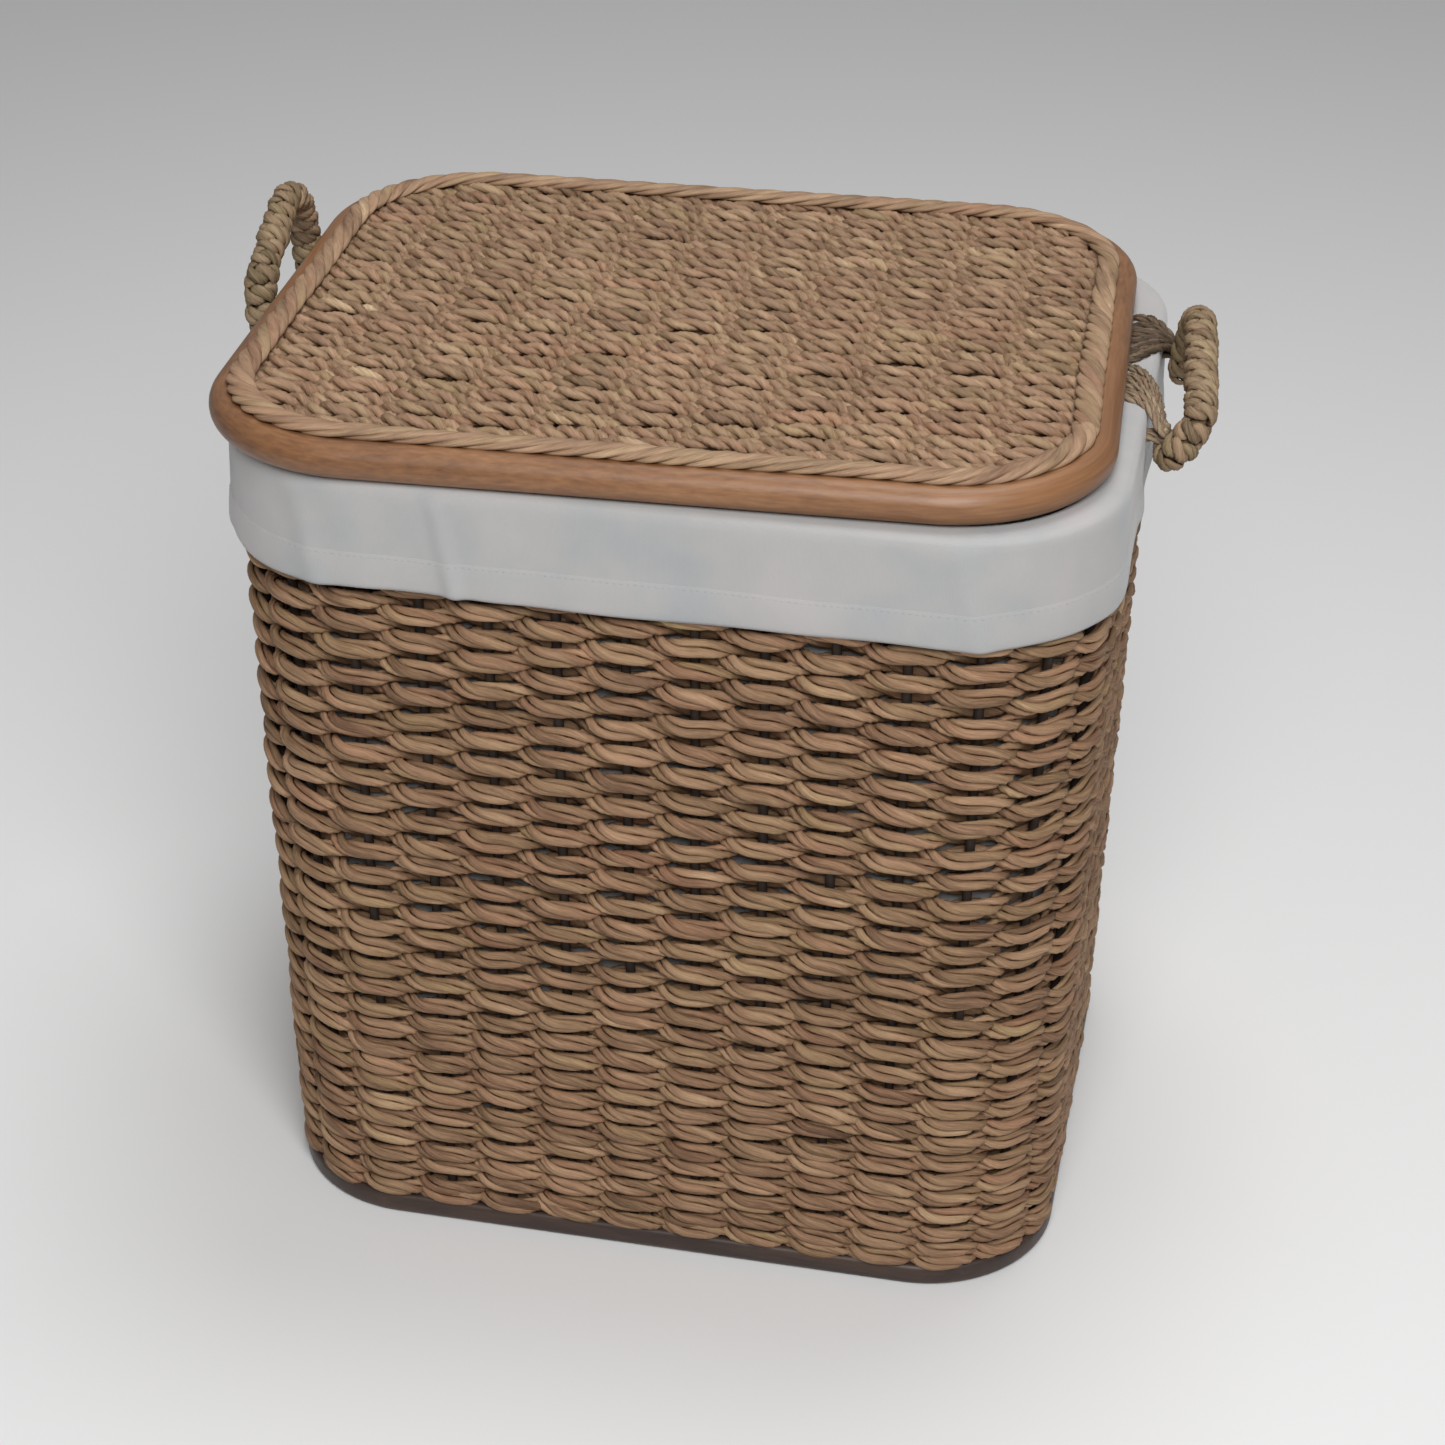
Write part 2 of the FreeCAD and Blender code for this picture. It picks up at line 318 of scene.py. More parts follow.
def seagrass(name, dark, low, middle, light, straw, pink, olive, rough=0.66, gloss=0.32):
    """Twisted grass: fibre streaks, tones that change from ply to ply, pink and olive stretches."""
    m = Nodes(name)
    fibre = m.attribute("fibre", "Vector")
    streak = m.noise(fibre, 0.95, 4.0, 0.62, 0.3)
    broad = m.noise(fibre, 0.28, 2.0, 0.5)
    fine = m.noise(fibre, 2.6, 2.0, 0.6)
    tone = m.math("MULTIPLY_ADD", m.attribute("tone"), 0.15, 0.5)
    tone = m.math("ADD", tone, m.math("MULTIPLY_ADD", streak, 0.68, -0.34))
    tone = m.math("ADD", tone, m.math("MULTIPLY_ADD", broad, 0.42, -0.21))
    tone = m.math("ADD", tone, m.math("MULTIPLY_ADD", fine, 0.3, -0.15), clamp=True)
    colour = m.ramp(tone, [(0.0, dark), (0.28, low), (0.5, middle), (0.74, light), (1.0, straw)])
    hue = m.attribute("hue")
    pinkish = m.math("MULTIPLY", m.math("MULTIPLY_ADD", hue, 0.5, 0.05, clamp=True), 0.75)
    greenish = m.math("MULTIPLY", m.math("MULTIPLY_ADD", hue, -0.5, 0.05, clamp=True), 0.75)
    colour = m.mix(pinkish, colour, pink, "MULTIPLY")
    colour = m.mix(greenish, colour, olive, "MULTIPLY")
    m.set(m.shader.inputs["Base Color"], colour)
    m.set(m.shader.inputs["Roughness"], m.math("MULTIPLY_ADD", streak, -0.25, rough + 0.125))
    m.set(m.shader.inputs["Specular IOR Level"], gloss)
    height = m.math("ADD", streak, m.math("MULTIPLY", fine, 0.4))
    m.set(m.shader.inputs["Normal"], m.bump(height, 0.75, 0.55))
    return m.material


GRASS = dict(dark=srgb(60, 42, 29), low=srgb(108, 81, 60), middle=srgb(147, 115, 88),
             light=srgb(177, 144, 113), straw=srgb(212, 184, 149),
             pink=(1.0, 0.86, 0.84), olive=(0.90, 0.98, 0.80))
grass_wall = seagrass("seagrass_wall", **GRASS)
# The lid's copy of the seagrass has lighter dark, low and middle tones than the wall's. This is
# painted light on the lid's top, which faces the light.
grass_lid_painted_light = seagrass("seagrass_lid", **{
    **GRASS, "dark": srgb(80, 60, 44), "low": srgb(122, 96, 74), "middle": srgb(151, 121, 95),
    "light": srgb(175, 145, 116), "straw": srgb(216, 190, 156)}, rough=0.58, gloss=0.4)
grass_rope = seagrass("seagrass_rope", **{
    **GRASS, "low": srgb(100, 82, 62), "middle": srgb(138, 116, 91), "light": srgb(168, 145, 116),
    "straw": srgb(204, 182, 150), "olive": (0.84, 0.96, 0.70)})
grass_wrap = seagrass("seagrass_wrap", **{
    **GRASS, "dark": srgb(50, 38, 28), "low": srgb(92, 76, 60), "middle": srgb(128, 108, 88),
    "light": srgb(156, 136, 114), "straw": srgb(186, 166, 144)})


def cane(name, dark, middle, light, rough, coat):
    """Peeled and varnished cane: long grain streaks and soft patches."""
    m = Nodes(name)
    fibre = m.attribute("fibre", "Vector")
    streak = m.noise(fibre, 0.55, 5.0, 0.6, 0.2)
    patch = m.noise(fibre, 0.07, 3.0, 0.55)
    fine = m.noise(fibre, 2.4, 2.0, 0.5)
    tone = m.math("ADD", m.math("MULTIPLY", streak, 0.5), m.math("MULTIPLY", patch, 0.5))
    tone = m.math("ADD", tone, m.math("MULTIPLY", m.attribute("tone"), 0.12), clamp=True)
    colour = m.ramp(tone, [(0.25, dark), (0.5, middle), (0.78, light)])
    m.set(m.shader.inputs["Base Color"], colour)
    m.set(m.shader.inputs["Roughness"], m.math("MULTIPLY_ADD", patch, 0.2, rough - 0.1))
    m.set(m.shader.inputs["Coat Weight"], coat)
    m.set(m.shader.inputs["Coat Roughness"], 0.28)
    height = m.math("ADD", streak, m.math("MULTIPLY", fine, 0.5))
    m.set(m.shader.inputs["Normal"], m.bump(height, 0.25, 0.4))
    return m.material


def wood_object(name, dark, middle, light, rough, scale, stretch):
    """Wood or cane on a plain part: its grain comes from object coordinates in metres."""
    m = Nodes(name)
    place = m.add("ShaderNodeTexCoord").outputs["Object"]
    place = m.add("ShaderNodeMapping", {"Vector": place, "Scale": stretch}).outputs["Vector"]
    streak = m.noise(place, scale, 5.0, 0.6, 0.4)
    patch = m.noise(place, scale / 9, 3.0, 0.5)
    tone = m.math("ADD", m.math("MULTIPLY", streak, 0.6), m.math("MULTIPLY", patch, 0.4))
    m.set(m.shader.inputs["Base Color"], m.ramp(tone, [(0.3, dark), (0.5, middle), (0.72, light)]))
    m.set(m.shader.inputs["Roughness"], m.math("MULTIPLY_ADD", patch, 0.3, rough - 0.15))
    m.set(m.shader.inputs["Normal"], m.bump(streak, 0.2, 0.3))
    return m.material


def cotton(name):
    """Plain-woven cotton, with faint cool and warm mottling."""
    m = Nodes(name)
    place = m.add("ShaderNodeTexCoord").outputs["Object"]
    cloth = m.attribute("fibre", "Vector")
    threads = {"Vector": cloth, "Scale": 0.55, "Distortion": 0.6, "Detail": 1.0}
    warp = m.add("ShaderNodeTexWave", threads, bands_direction="X").outputs["Fac"]
    weft = m.add("ShaderNodeTexWave", threads, bands_direction="Y").outputs["Fac"]
    slub = m.noise(place, 900.0, 2.0, 0.6)
    mottle = m.noise(place, 22.0, 3.0, 0.5)
    colour = m.ramp(mottle, [(0.3, srgb(164, 166, 168)), (0.5, srgb(174, 173, 172)),
                             (0.7, srgb(180, 176, 176))])
    thread = m.math("MULTIPLY_ADD", m.math("ADD", warp, weft), 0.03, 0.95)
    thread = m.math("ADD", thread, m.math("MULTIPLY_ADD", slub, 0.05, -0.025))
    grey = m.add("ShaderNodeCombineColor", {"Red": thread, "Green": thread, "Blue": thread})
    grey = grey.outputs["Color"]
    m.set(m.shader.inputs["Base Color"], m.mix(1.0, colour, grey, "MULTIPLY"))
    m.set(m.shader.inputs["Roughness"], 0.92)
    m.set(m.shader.inputs["Specular IOR Level"], 0.2)
    m.set(m.shader.inputs["Sheen Weight"], 0.25)
    m.set(m.shader.inputs["Sheen Roughness"], 0.5)
    wrinkle = m.noise(place, 60.0, 3.0, 0.5)
    first = m.bump(wrinkle, 0.35, 1.2)
    height = m.math("ADD", m.math("ADD", warp, weft), slub)
    m.set(m.shader.inputs["Normal"], m.bump(height, 0.35, 0.12, first))
    return m.material


cane_varnished = cane("cane_varnished", srgb(94, 60, 36), srgb(130, 89, 56), srgb(158, 115, 77),
                      0.5, 0.18)
stake_rattan = wood_object("stake_rattan", srgb(84, 66, 46), srgb(118, 95, 68), srgb(146, 121, 90),
                           0.7, 400.0, (1, 1, 0.05))
# The wall stakes get a near-black stain. This is painted shade: it keeps the gaps between the
# floats dark where the stakes show through.
stake_dark = wood_object("stake_dark", srgb(32, 23, 17), srgb(44, 32, 24), srgb(60, 44, 33),
                         0.75, 400.0, (1, 1, 0.05))
board_dark = wood_object("board_dark", srgb(40, 30, 27), srgb(58, 43, 37), srgb(82, 60, 48),
                         0.45, 160.0, (0.12, 1, 1))
cloth_cotton = cotton("cotton")

# the CAD parts that stay shown, and their finished materials; the wall stakes' near-black is
# painted shade
for node, material in {"wall_stakes": stake_dark, "lid_ribs": stake_rattan,
                       "rim_hoop": stake_rattan, "handle_left_core": stake_rattan,
                       "handle_right_core": stake_rattan}.items():
    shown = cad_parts[node].data
    shown.materials.clear()
    shown.materials.append(material)

# ---------------------------------------------------------------- the woven wall

ROW_HIGH, ROW_LOW = 7.45, 6.05      # height of one row, in the upper part and near the floor
TIGHT_TO, LOOSE_FROM = 95.0, 205.0  # the heights between which the rows get higher
FIRST_ROW, LAST_ROW = 4.2, 3.6      # from the board up to the first row, from the top to the last
ROUND = 1406.0        # length of one turn round the wall
STEP = 3.1            # between the samples along a cord
BACK = 13.24          # the stake coordinate of the middle of the back, where each turn steps up
CLIMB_FROM, CLIMB = 0.93, 0.07      # where in a turn it steps up, and over what share of the turn
REACH = 5.2           # how far the cord swings out in front of the stakes and in behind them
HALF_OUT, HALF_UP = 4.7, 4.5        # half the cord's thickness where it passes between two stakes
LAY = 49.0            # length of one full twist
TIGHT = 0.80          # how much of the twist gathers between the stakes
BANDS = 8             # the pieces that the one long cord is cut into


def flat_wave(phase, flatness=1.1):
    """A cosine with flatter crests, from -1 to 1."""
    return np.tanh(flatness * np.cos(phase)) / math.tanh(flatness)


def row_height(z):
    """Height of one row at a height above the floor."""
    t = min(max((z - TIGHT_TO) / (LOOSE_FROM - TIGHT_TO), 0.0), 1.0)
    return ROW_LOW + (ROW_HIGH - ROW_LOW) * t * t * (3 - 2 * t)


def row_levels():
    """Height of each row's middle, from the board to the rim."""
    first, last = BOARD[1][2] + FIRST_ROW, box("wall_weave")[1][2] - LAST_ROW
    levels = [first]
    while levels[-1] + row_height(levels[-1]) < last:
        levels.append(levels[-1] + row_height(levels[-1]))
    levels = np.array(levels)
    return first + (levels - first) * (last - first) / (levels[-1] - first)


def woven_wall():
    """One long cord in a spiral, in front of one stake and behind the next."""
    per_turn = int(ROUND / STEP)
    levels = row_levels()
    rows = len(levels) + 1          # the first one hangs level with the second
    n = per_turn * rows
    s = BACK + np.arange(n) / per_turn * STAKES
    turns = (s - BACK) / STAKES
    row = np.floor(turns)
    climb = np.clip((turns - row - CLIMB_FROM) / CLIMB, 0, 1)
    climb = climb * climb * (3 - 2 * climb)
    at = turns * ROUND
    wave = flat_wave(math.pi * (s - 0.5), 1.5)
    crest = wave * wave
    behind = np.clip(-wave, 0, 1) ** 2
    level = np.maximum(row + climb - 1, 0)
    z = np.interp(level, np.arange(len(levels)), levels)
    dense = np.interp(z, (TIGHT_TO, LOOSE_FROM), (ROW_LOW / ROW_HIGH, 1.0))
    size = (1 + wander(at, 70, 0.07)) * (0.3 + 0.7 * dense)
    uneven = wander(at, 26, 0.8) + wander(at, 130, 0.7)
    z = z + 1.2 * (np.clip(row + climb, 0, 1) - 1) + uneven * dense
    reach = REACH * (1 + wander(at, 60, 0.05))
    centre, out = on_wall(s, z, WALL / 2 - reach * wave)
    half_out = (HALF_OUT - 1.1 * crest) * size
    taller = 1 + 0.17 * (1 - dense) / (1 - ROW_LOW / ROW_HIGH)
    half_up = (HALF_UP + 0.9 * crest + 2.2 * behind) * size * taller
    gather = TIGHT * ROUND / STAKES / (2 * math.pi) * np.sin(2 * math.pi * (s - 0.5))
    twist = 2 * math.pi * (at - gather) / LAY + wander(at, 90, 0.9)
    for band in range(BANDS):
        low, high = (int(round(k * rows / BANDS)) * per_turn for k in (band, band + 1))
        part = slice(max(low - 1, 0), high)
        bundle = Bundle()
        bundle.cord(centre[part], out[part], half_out[part], half_up[part], twist[part],
                    plies=3, sides=7, spread=0.55)
        bundle_piece(f"wall_cord_{band + 1}", bundle, grass_wall, "basket",
                     ["wall_weave"])


woven_wall()

# ---------------------------------------------------------------- the lid

LID_ROW = 7.3         # from one row of cord to the next
LID_RISE = 5.6        # the panel is tight and stands a little proud of the hoop's middle
LID_LAY = 19.0        # length of one full twist of its cord
LID_HALF_OUT, LID_HALF_UP = 4.2, 5.0    # half its cord's thickness
TUCK = 3.5            # how far the cord's ends reach under the border
RIB_PITCH = 37.0      # from rib to rib
INSIDE = 2 * HOOP_R
RING = 1400.0         # length round the lid's edge
BORDER_INSET = 16.6   # from the hoop's outside to the border cord's middle
BORDER_DROP = 2.3     # the border cord's middle lies this much under its CAD solid's middle
BORDER_TURNS = 22     # full twists of the border cord


def lid_half_width(y, inset):
    """Half the lid's width at a distance y from its long middle line."""
    w, d, r = LID[0] / 2 - inset, LID[1] / 2 - inset, LID[2] - inset
    beyond = np.clip(abs(y) - (d - r), 0, r)
    return w - r + math.sqrt(max(r * r - beyond * beyond, 0))


def woven_lid():
    """Straight cords over one rib and under the next, each row the other way about."""
    rows = int((LID[1] - 2 * INSIDE) / LID_ROW) + 1
    middle = (box("lid_weave")[0][2] + LID_TOP) / 2 + LID_RISE
    front, back = Bundle(), Bundle()
    for index in range(rows):
        y = (index - (rows - 1) / 2) * LID_ROW
        half = lid_half_width(y, INSIDE) + TUCK
        x = np.arange(-half, half, STEP)
        phase = math.pi * (x / RIB_PITCH + index)
        wave = flat_wave(phase)
        crest = wave * wave
        z = middle + wave * 2.8 * (1 + wander(x, 40, 0.16))
        yy = y + wander(x, 24, 0.65) + wander(x, 120, 0.55)
        centre = np.stack([x, yy, z], 1)
        up = np.zeros_like(centre)
        up[:, 2] = 1
        size = 1 + wander(x, 30, 0.07)
        gather = 0.35 * RIB_PITCH / (2 * math.pi) * np.sin(2 * phase)
        twist = 2 * math.pi * (x - gather) / LID_LAY + random.uniform(0, 6.3) + wander(x, 45, 1.2)
        bundle = front if index < rows / 2 else back
        bundle.cord(lid_place(centre), up, (LID_HALF_OUT - 0.7 * crest) * size,
                    (LID_HALF_UP + 0.5 * crest) * size, twist, spread=0.40)
    for name, bundle in (("lid_cords_front", front), ("lid_cords_back", back)):
        bundle_piece(name, bundle, grass_lid_painted_light, "lid", ["lid_weave"])


def lid_ring(inset, z, count):
    """Points round the lid's outline, moved inwards by inset, and their outward directions."""
    w, d, r = LID[0] - 2 * inset, LID[1] - 2 * inset, LID[2] - inset
    point, out = on_outline(key_at(np.arange(count) / count, w, d, r), w, d, r)
    return lid_place(np.column_stack([point, np.full(count, z)])), lid_turn(out)


def seam_fade(at):
    """0 where the ring closes and 1 away from it, so that random values meet there."""
    return np.clip(np.minimum(at, RING - at) / 60, 0, 1)


def lid_border():
    """The thicker cord laid round the panel's edge."""
    low, high = box("lid_border")
    count = 620
    centre, out = lid_ring(BORDER_INSET, (low[2] + high[2]) / 2 - BORDER_DROP, count)
    at = np.linspace(0, RING, count, endpoint=False)
    ends = seam_fade(at)
    centre[:, 2] += wander(at, 60, 0.25) * ends
    centre += out * (wander(at, 80, 0.4) * ends)[:, None]
    bundle = Bundle()
    half = (high[2] - low[2]) / 2
    half_out = half * 1.3 * (1 + wander(at, 50, 0.07) * ends)
    twist = -2 * math.pi * np.arange(count) / count * BORDER_TURNS + wander(at, 70, 0.9) * ends
    bundle.cord(centre, out, half_out, half * 0.62, twist,
                plies=4, sides=10, closed=True, spread=0.48)
    bundle_piece("lid_border_cord", bundle, grass_lid_painted_light, "lid", ["lid_border"])


def lid_cane():
    """The smooth bent hoop round the lid."""
    low, high = box("lid_hoop")
    count, sides = 520, 28
    centre, out = lid_ring(HOOP_R, (low[2] + high[2]) / 2, count)
    at = np.arange(count) / count * RING
    theta = np.arange(sides) * 2 * math.pi / sides
    ends = seam_fade(at)
    radius = (HOOP_R - 0.12) * (1 + wander(at, 90, 0.006) * ends)
    c, s = np.cos(theta)[None, :, None], np.sin(theta)[None, :, None]
    rings = centre[:, None] + radius[:, None, None] * (c * out[:, None] + s * np.array([0, 0, 1.0]))
    fibre = np.empty((count, sides, 3))
    fibre[..., 0], fibre[..., 1] = HOOP_R * np.cos(theta), HOOP_R * np.sin(theta)
    fibre[..., 2] = 60 * np.cos(2 * math.pi * at / RING)[:, None]
    tone = wander(at, 160, 0.6) * ends
    bundle = Bundle()
    bundle.tube(rings, fibre, tone, tone * 0, closed=True)
    bundle_piece("lid_cane_hoop", bundle, cane_varnished, "lid", ["lid_hoop"])


woven_lid()
lid_border()
lid_cane()

# ---------------------------------------------------------------- base board

def base_board():
    """A stained board with a rounded edge."""
    z0, z1 = BOARD[0][2], BOARD[1][2]
    w, d = (BOARD[1] - BOARD[0])[:2]
    count = 240
    edge, high, deep = 5.0, 0.7, 0.6    # the rounded edge: its size, and height and depth in shares
    flat, middle = 4.2, 30.0            # insets of the flat faces' first two rings
    rise = [(0.0, 1.0), (0.08, 0.62), (0.3, 0.3), (0.62, 0.08), (1.0, 0.0)]
    profile = [(z0 + a * edge * high, b * edge * deep) for a, b in rise]
    profile += [(z1 - a * edge * high, b * edge * deep) for a, b in reversed(rise)]
    rings = []
    for z, inset in [(z0, middle), (z0, flat), *profile, (z1, flat), (z1, middle)]:
        r = FOOT[2] - 1.5 - inset
        size = (w - 2 * inset, d - 2 * inset, r)
        point, _ = on_outline(key_at(np.arange(count) / count, *size), *size)
        rings.append(np.column_stack([point, np.full(count, z)]))
    points = np.concatenate(rings)
    faces = []
    for k in range(len(rings) - 1):
        for j in range(count):
            a, b = k * count + j, k * count + (j + 1) % count
            faces.append([a, b, b + count, a + count])
    faces.append(list(range(count))[::-1])
    faces.append(list(range((len(rings) - 1) * count, len(rings) * count)))
    new_piece("base_board_stained", points, faces, board_dark, "basket",
              ["base_board"])


base_board()

# ---------------------------------------------------------------- liner

CLOTH = 1.2           # its thickness
CUFF_Z = box("liner_hem")[0][2]     # the cuff's lower edge
HEM_TOP = box("liner_hem")[1][2]
LINER_SAMPLES = 1200
LINER_ROUND = 1440.0  # length once round the liner
BAG, CUFF_OUT = 18.2, -1.2          # insets of the bag's side and of the cuff's tight surface
STITCHES = 420
# stake coordinate, width in stakes, and height in millimetres of each fold in the cuff
CREASES = [(29.05, 0.16, 1.6), (29.7, 0.30, 0.9), (31.0, 0.12, 2.2), (31.55, 0.35, 0.8),
           (36.0, 0.5, 0.5), (38.25, 0.16, 2.0), (38.9, 0.4, -0.9), (40.3, 0.3, 0.8),
           (2.1, 0.25, 1.3), (5.6, 0.3, 1.5), (8.4, 0.2, 1.8), (12.2, 0.22, 1.4), (16.8, 0.3, 1.6),
           (19.5, 0.2, 1.4), (22.9, 0.24, 1.8), (25.7, 0.3, 2.0), (26.9, 0.2, 1.6)]


def crease(s, where, width):
    """A soft ridge round one place of the cuff, from 0 to 1."""
    away = np.abs((s - where + STAKES / 2) % STAKES - STAKES / 2)
    return np.exp(-(away / width) ** 2)


def waves(s, count, phase=0.0):
    """A sine with this many waves once round the basket."""
    return np.sin(2 * math.pi * s / STAKES * count + phase)


def liner_shift(s, z):
    """How far the cuff stands out from where it would lie tight: its folds and loose edge."""
    down = np.clip((MOUTH_Z - z) / (MOUTH_Z - CUFF_Z), 0, 1)
    shift = 0.5 * waves(s, 9, 1.0) + 0.4 * waves(s, 17, 2.2)
    shift = shift * down + 0.7 * down
    for where, width, size in CREASES:
        ridge = crease(s, where + 0.3 * (down - 0.5), width * 1.15)
        shift = shift + 1.3 * size * ridge * (0.35 + 0.65 * down)
    return shift


def edge_wave(s, z):
    """The cuff's lower edge isn't quite level: how much its last points go up or down."""
    return 0.8 * waves(s, 7) if z < CUFF_Z + 2 else 0


def cloth_sheet(name, line, body, nodes, thickness=CLOTH):
    """A two-sided sheet swept round the basket. line gives z and inset of its profile's points."""
    s = np.arange(LINER_SAMPLES) / LINER_SAMPLES * STAKES
    rows = [on_wall(s, z, inset)[0] for z, inset in line(s)]
    grid = np.stack(rows)                                            # profile x around x 3
    across = np.gradient(grid, axis=0)
    round_it = np.roll(grid, -1, 1) - np.roll(grid, 1, 1)
    normal = unit(np.cross(across, round_it))
    n, count = grid.shape[:2]
    half = normal * thickness / 2
    points = np.concatenate([grid + half, grid - half]).reshape(-1, 3)
    i, j = np.arange(n - 1)[:, None] * count, np.arange(count)[None, :]
    k = (j + 1) % count
    front = np.stack([i + j, i + k, i + count + k, i + count + j], 2).reshape(-1, 4)
    second = n * count
    faces = front[:, ::-1].tolist() + (front + second).tolist()
    j, k = j[0], k[0]
    last = (n - 1) * count
    faces += np.stack([j, k, k + second, j + second], 1).tolist()
    faces += np.stack([last + k, last + j, last + j + second, last + k + second], 1).tolist()
    length = along(grid[:, 0])
    around = s / STAKES * LINER_ROUND
    fibre = np.stack(np.broadcast_arrays(around, length[:, None], 0.0), 2).reshape(-1, 3)
    values = {"fibre": np.concatenate([fibre, fibre])}
    return new_piece(name, points, faces, cloth_cotton, body, nodes, values)


def liner_line(s):
    """The bag's side from its foot up, over the rim, and down the outside."""
    foot = box("liner_wall")[0][2] + 0.6
    yield foot, BAG
    for z in np.linspace(foot + 12, MOUTH_Z - 12, 12):
        ripple = 0.6 * waves(s, 11, z / 60) + 0.5 * waves(s, 23)
        yield z, BAG + 0.8 + ripple * math.sin(math.pi * (z - foot) / (MOUTH_Z - foot))
    for z, share in ((-6.0, 0.0), (-3.0, 0.015), (-1.3, 0.07), (-0.6, 0.2), (-0.6, 0.5),
                     (-0.6, 0.8), (-1.3, 0.93), (-3.2, 0.985)):
        yield MOUTH_Z + z, BAG + (CUFF_OUT - BAG) * share
    for z in np.linspace(MOUTH_Z - 7, CUFF_Z + 0.4, 14):
        yield z + edge_wave(s, z), CUFF_OUT - liner_shift(s, z)


def hem_line(s):
    """The hem band on the cuff's outside, from its stitched top to its lower edge."""
    for z, lift in ((HEM_TOP, -0.35), (HEM_TOP - 1.5, 0.35), (HEM_TOP - 4, 0.85),
                    (HEM_TOP - 10, 1.3), (CUFF_Z + 4, 1.5), (CUFF_Z + 1.5, 1.2), (CUFF_Z, 0.5)):
        yield z + edge_wave(s, z), CUFF_OUT - liner_shift(s, z) - lift


def hem_stitches():
    """A row of short stitches along the top of the hem."""
    bundle = Bundle()
    for index in range(STITCHES):
        s = (index + np.linspace(0.12, 0.88, 5)) / STITCHES * STAKES
        z = np.full(5, HEM_TOP - 2.6)
        lift = np.array([0.2, 0.62, 0.72, 0.62, 0.2])
        centre, out = on_wall(s, z, CUFF_OUT - 0.4 - liner_shift(s, z) - lift)
        bundle.cord(centre, out, 0.16, 0.26, np.zeros(5), plies=1, sides=6, tone=0.0)
    return bundle_piece("hem_stitches", bundle, cloth_cotton, "basket")


def liner_bottom():
    """The bag's bottom, a slightly wavy two-sided sheet."""
    low, high = box("liner_bottom")
    w, d = (high - low)[:2]
    inset = 17.6
    r = float(outline_at(low[2], inset)[2])
    z = (low[2] + high[2]) / 2
    count = 200
    points, rings = [], 16
    for k in range(rings):
        share = (k + 1) / rings
        size = (w * share, d * share, r * share)
        point, _ = on_outline(key_at(np.arange(count) / count, *size), *size)
        x, y = point.T
        wave = 0.35 * np.sin(x / 31) * np.cos(y / 27) * math.sin(math.pi * share)
        points.append(np.column_stack([point, z + wave]))
    top = np.concatenate(points)
    n = len(top)
    both = np.concatenate([top + [0, 0, CLOTH / 2], top - [0, 0, CLOTH / 2]])
    faces = []
    for k in range(rings - 1):
        for j in range(count):
            a, b = k * count + j, k * count + (j + 1) % count
            faces += [[a, b, b + count, a + count][::-1],
                      [n + a, n + b, n + b + count, n + a + count]]
    faces += [list(range(count)), [n + j for j in range(count)][::-1]]
    for j in range(count):
        a, b = (rings - 1) * count + j, (rings - 1) * count + (j + 1) % count
        faces.append([a, b, b + n, a + n][::-1])
    return new_piece("liner_floor", both, faces, cloth_cotton, "basket",
                     ["liner_bottom"], {"fibre": both})


liner = cloth_sheet("liner_cloth", liner_line, "basket", ["liner_wall"])
hem = cloth_sheet("liner_hem_band", hem_line, "basket", ["liner_hem"], thickness=0.9)
stitches = hem_stitches()
floor_cloth = liner_bottom()

# ---------------------------------------------------------------- rim cord, under the liner

def rim_cord():
    """Thin cord wound round the rim hoop, turn by turn."""
    low, high = box("rim_wrap")
    z0, core, thick = (low[2] + high[2]) / 2, 5.5, 2.4
    count, turns = 6000, 205
    s = np.arange(count) / count * STAKES
    angle = np.arange(count) / count * turns * 2 * math.pi
    radius = core + thick / 2
    middle, out = on_wall(s, np.full(count, z0), WALL / 2)
    radial = out * np.cos(angle)[:, None] + np.array([0, 0, 1.0]) * np.sin(angle)[:, None]
    bundle = Bundle()
    bundle.cord(middle + radial * radius, radial, thick / 2, 3.5, angle * 0,
                plies=1, sides=6, closed=True)
    bundle_piece("rim_cord", bundle, grass_wrap, "basket", ["rim_wrap"])


rim_cord()

# ---------------------------------------------------------------- handles

PIN_Z = 440.0                       # height of the pins on which the handles turn
CORE_R, ROPE_R = 4.0, 8.8           # half the thickness of the bow, without and with its rope
PIN_BEND, BOW_BEND = 11.0, 24.0     # radii of the bow's bends
ROPE_PITCH, ROPE_LAY = 8.6, 17.0    # from turn to turn along the bow, one full twist of the cord
ROPE_STEP = 1.9                     # between the samples along it
ROPE_ENDS = (0.028, 0.972)          # the shares of the bow's length where the rope starts and ends
PLAY = 0.35                         # between a pin and its lashing
STRAND_POINTS, STRAND_LAY = 26, 15.0    # samples along a loose strand, and one full twist of it
# x sign, the pins' x, the bow's middle in y, half its length,
# then front and back reach, and front and back tilt in degrees
HANDLES = {"left": (-1, 250.0, 46.0, 40.5, 30.0, 70.0, 90.0, 87.0),
           "right": (1, 236.0, 4.0, 53.5, 27.5, 46.5, 54.0, 82.0)}


def handle_point(side, y, reach):
    """A point of the bow at y from its middle and this far from the pins' line."""
    sign, pin_x, middle, _, _, _, front_tilt, back_tilt = HANDLES[side]
    tilt = math.radians(back_tilt if y > 0 else front_tilt)
    x, z = sign * (pin_x + reach * math.cos(tilt)), PIN_Z + reach * math.sin(tilt)
    return np.array([x, middle + y, z])


